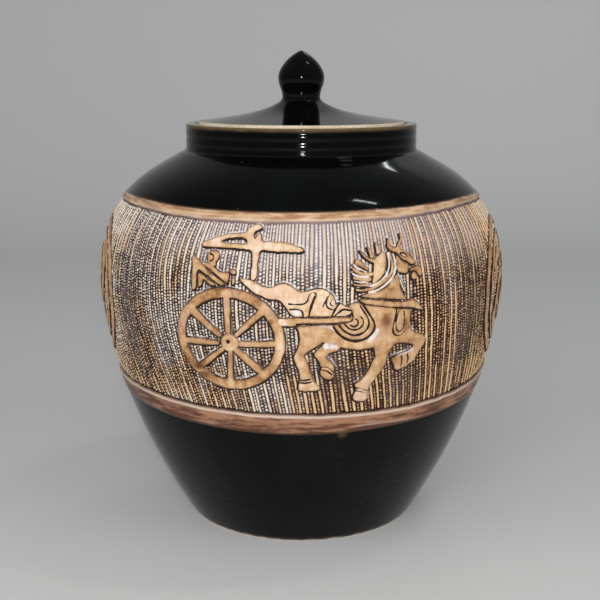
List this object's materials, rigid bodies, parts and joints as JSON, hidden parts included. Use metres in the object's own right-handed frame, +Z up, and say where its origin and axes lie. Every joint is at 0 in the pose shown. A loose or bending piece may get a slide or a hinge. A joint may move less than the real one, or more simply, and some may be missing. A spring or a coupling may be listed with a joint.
{
  "type": "wine jar",
  "caption": "Wide-bellied stoneware wine jar with a narrow foot, a short neck and a domed lift-off lid with a bud knob; it stores and ages wine or grain spirit.",
  "frame": {"origin": "centre of the base, on the surface that the jar stands on", "axes": "+Z up the jar's turning axis; -Y towards the side with the carved horse and cart"},
  "size_m": [0.2889, 0.2899, 0.3323],
  "materials": {
    "black_glaze": "glossy black-brown glaze over pale stoneware, with a carved band stained tan and dark brown",
    "lid_glaze": "glossy black glaze, bare cream clay at the edge that sits on the rim",
    "knob_glaze": "glossy black glaze",
    "silicone": "matt milky silicone"
  },
  "bodies": {
    "jar": {"jar_body": "black_glaze"},
    "lid": {"lid": "lid_glaze", "lid_knob": "knob_glaze", "seal_ring": "silicone"}
  },
  "joints": [
    {"name": "lid_lift", "type": "slide", "parent": "jar", "child": "lid", "axis": [0, 0, 1], "range_m": [0, 0.12]}
  ]
}
